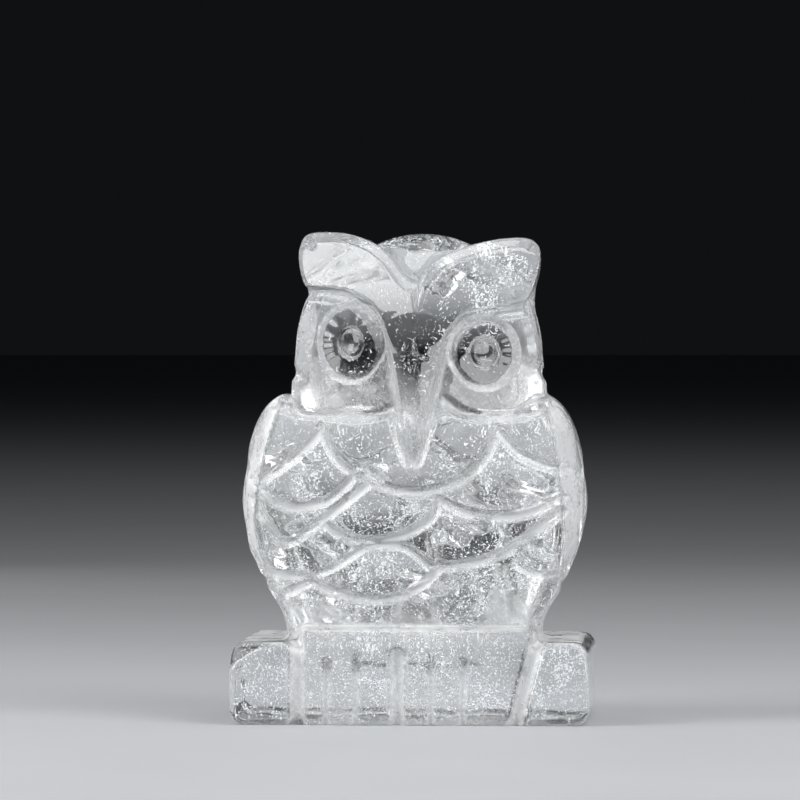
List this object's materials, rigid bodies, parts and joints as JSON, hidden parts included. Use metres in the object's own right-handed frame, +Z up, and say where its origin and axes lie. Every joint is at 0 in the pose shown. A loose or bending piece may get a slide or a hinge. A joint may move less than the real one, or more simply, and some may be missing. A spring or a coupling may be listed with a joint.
{
  "type": "owl figurine",
  "caption": "Small owl carved from one block of clear rock crystal, with drilled ring eyes, blunt ear tufts, scalloped breast feathers and a block perch.",
  "frame": {"origin": "middle of the perch's flat bottom", "axes": "+Z up, the owl looks along -Y, +X to the viewer's right"},
  "size_m": [0.0364, 0.025, 0.0499],
  "materials": {
    "rock_crystal": "polished clear natural quartz, with frosted ground grooves and milky veils inside"
  },
  "bodies": {
    "root": {"back": "rock_crystal", "beak": "rock_crystal", "breast": "rock_crystal", "crown": "rock_crystal", "head": "rock_crystal", "left_ear_tuft": "rock_crystal", "left_eye": "rock_crystal", "left_foot": "rock_crystal", "left_pupil": "rock_crystal", "left_wing": "rock_crystal", "perch": "rock_crystal", "right_ear_tuft": "rock_crystal", "right_eye": "rock_crystal", "right_foot": "rock_crystal", "right_pupil": "rock_crystal", "right_wing": "rock_crystal", "tail": "rock_crystal"}
  },
  "joints": []
}
